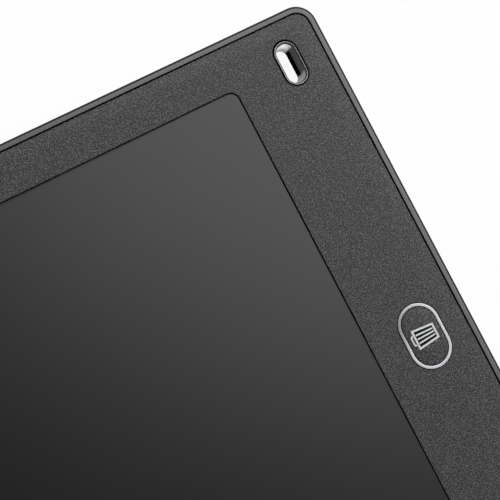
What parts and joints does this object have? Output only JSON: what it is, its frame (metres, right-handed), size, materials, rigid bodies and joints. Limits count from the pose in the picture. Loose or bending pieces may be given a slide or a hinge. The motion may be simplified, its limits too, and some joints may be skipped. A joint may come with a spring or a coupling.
{
  "type": "lcd writing tablet",
  "caption": "Flat writing tablet with a liquid-crystal film, an erase button with a trim ring, a lanyard hole, a rear erase lock, a battery door and a stylus in a side channel.",
  "frame": {"origin": "middle of the rear face, on the plane that the tablet lies on", "axes": "+X across the tablet to the side with the lanyard hole and the stylus mouth, +Y from the button edge to the stylus edge, +Z out of the writing face"},
  "size_m": [0.145, 0.225, 0.006],
  "materials": {
    "satin_shell": "smooth satin dark grey",
    "textured_panel": "fine spark-eroded grain, dark grey",
    "writing_film": "smooth semi-gloss grey film",
    "black_plastic": "matt black",
    "connector_plastic": "matt tan",
    "flex_lead": "amber polyimide",
    "board_laminate": "green solder mask",
    "silver_trim": "satin plated silver",
    "stylus_metal": "anodised silver",
    "plain_steel": "plain nickel-plated steel",
    "contact_metal": "gold-flashed spring strip"
  },
  "bodies": {
    "case": {"rear_shell": "satin_shell", "front_panel": "textured_panel", "writing_film": "writing_film", "film_tape": "black_plastic", "film_backer": "black_plastic", "film_tail": "flex_lead", "film_connector": "connector_plastic", "circuit_board": "board_laminate", "driver_chip": "black_plastic", "boost_inductor": "black_plastic", "boost_diode": "black_plastic", "board_capacitor_1": "connector_plastic", "board_capacitor_2": "connector_plastic", "board_capacitor_3": "connector_plastic", "board_capacitor_4": "connector_plastic", "board_resistor_1": "black_plastic", "board_resistor_2": "black_plastic", "board_resistor_3": "black_plastic", "board_resistor_4": "black_plastic", "erase_switch_base": "black_plastic", "slide_switch_case": "plain_steel", "button_ring": "silver_trim", "lanyard_eyelet": "silver_trim", "coin_cell": "plain_steel", "battery_contact_negative": "contact_metal", "battery_contact_positive": "contact_metal", "case_screw_1": "plain_steel", "case_screw_2": "plain_steel", "case_screw_3": "plain_steel", "case_screw_4": "plain_steel", "case_screw_5": "plain_steel", "case_screw_6": "plain_steel", "board_screw_1": "plain_steel", "board_screw_2": "plain_steel", "board_screw_3": "plain_steel"},
    "button": {"erase_button": "textured_panel"},
    "switch_plunger": {"erase_switch_plunger": "plain_steel"},
    "lock": {"lock_slider": "satin_shell"},
    "lock_switch": {"slide_switch_actuator": "black_plastic"},
    "door": {"battery_door": "satin_shell", "battery_door_screw": "plain_steel"},
    "stylus": {"stylus_barrel": "stylus_metal", "stylus_tip": "black_plastic", "stylus_end_cap": "satin_shell"}
  },
  "joints": [
    {"name": "erase_press", "type": "slide", "parent": "case", "child": "button", "axis": [0, 0, -1], "range_m": [0, 0.0004], "stiffness_N_per_m": 2500},
    {"name": "switch_plunge", "type": "slide", "parent": "case", "child": "switch_plunger", "axis": [0, 0, -1], "range_m": [0, 0.0004]},
    {"name": "lock_slide", "type": "slide", "parent": "case", "child": "lock", "axis": [1, 0, 0], "range_m": [0, 0.002]},
    {"name": "lock_switch_slide", "type": "slide", "parent": "case", "child": "lock_switch", "axis": [1, 0, 0], "range_m": [0, 0.002]},
    {"name": "battery_door_lift", "type": "slide", "parent": "case", "child": "door", "axis": [0, 0, -1], "range_m": [0, 0.008]},
    {"name": "stylus_draw", "type": "slide", "parent": "case", "child": "stylus", "axis": [1, 0, 0], "range_m": [0, 0.12]}
  ],
  "couplings": [
    {"joint": "switch_plunge", "follows": "erase_press", "ratio": 1},
    {"joint": "lock_switch_slide", "follows": "lock_slide", "ratio": 1}
  ]
}
